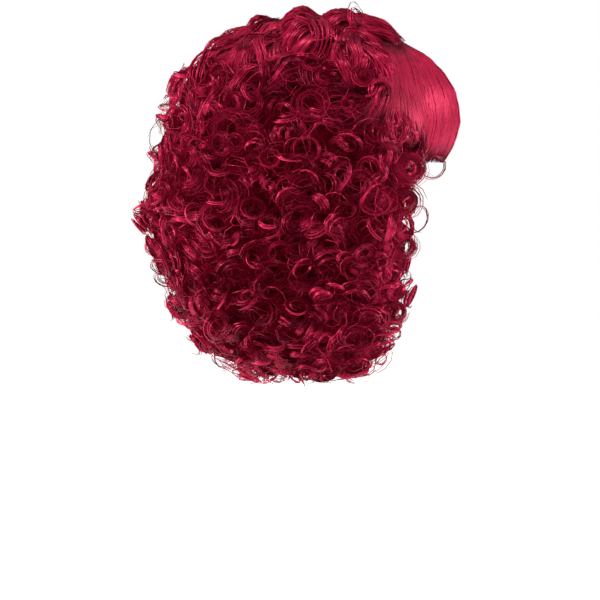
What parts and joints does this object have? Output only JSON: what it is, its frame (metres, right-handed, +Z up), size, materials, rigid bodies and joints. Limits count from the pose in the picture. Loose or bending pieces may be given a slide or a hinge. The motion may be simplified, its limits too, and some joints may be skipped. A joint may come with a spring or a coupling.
{
  "type": "curly wig",
  "caption": "Deep red curly bob wig with a straight full fringe, waved crown and ringlets round the sides and back, on a hollow cap that fits a head.",
  "frame": {"origin": "top of the wearer's head, inside the crown of the cap", "axes": "+Z up, the face looks along -Y, +X is the wearer's left"},
  "size_m": [0.2928, 0.2915, 0.336],
  "materials": {
    "curly_hair": "soft sheen of deep red synthetic fibre, in tight curls",
    "fringe_hair": "smooth sheen of deep red synthetic fibre, combed straight",
    "cap_net": "matt dark net with sewn wefts"
  },
  "bodies": {
    "root": {"wig_cap": "cap_net", "fringe": "fringe_hair", "crown_waves": "curly_hair", "side_curls_upper_left": "curly_hair", "side_curls_upper_right": "curly_hair", "side_curls_lower_left": "curly_hair", "side_curls_lower_right": "curly_hair", "back_curls_upper_left": "curly_hair", "back_curls_upper_right": "curly_hair", "back_curls_lower_left": "curly_hair", "back_curls_lower_right": "curly_hair"}
  },
  "joints": []
}
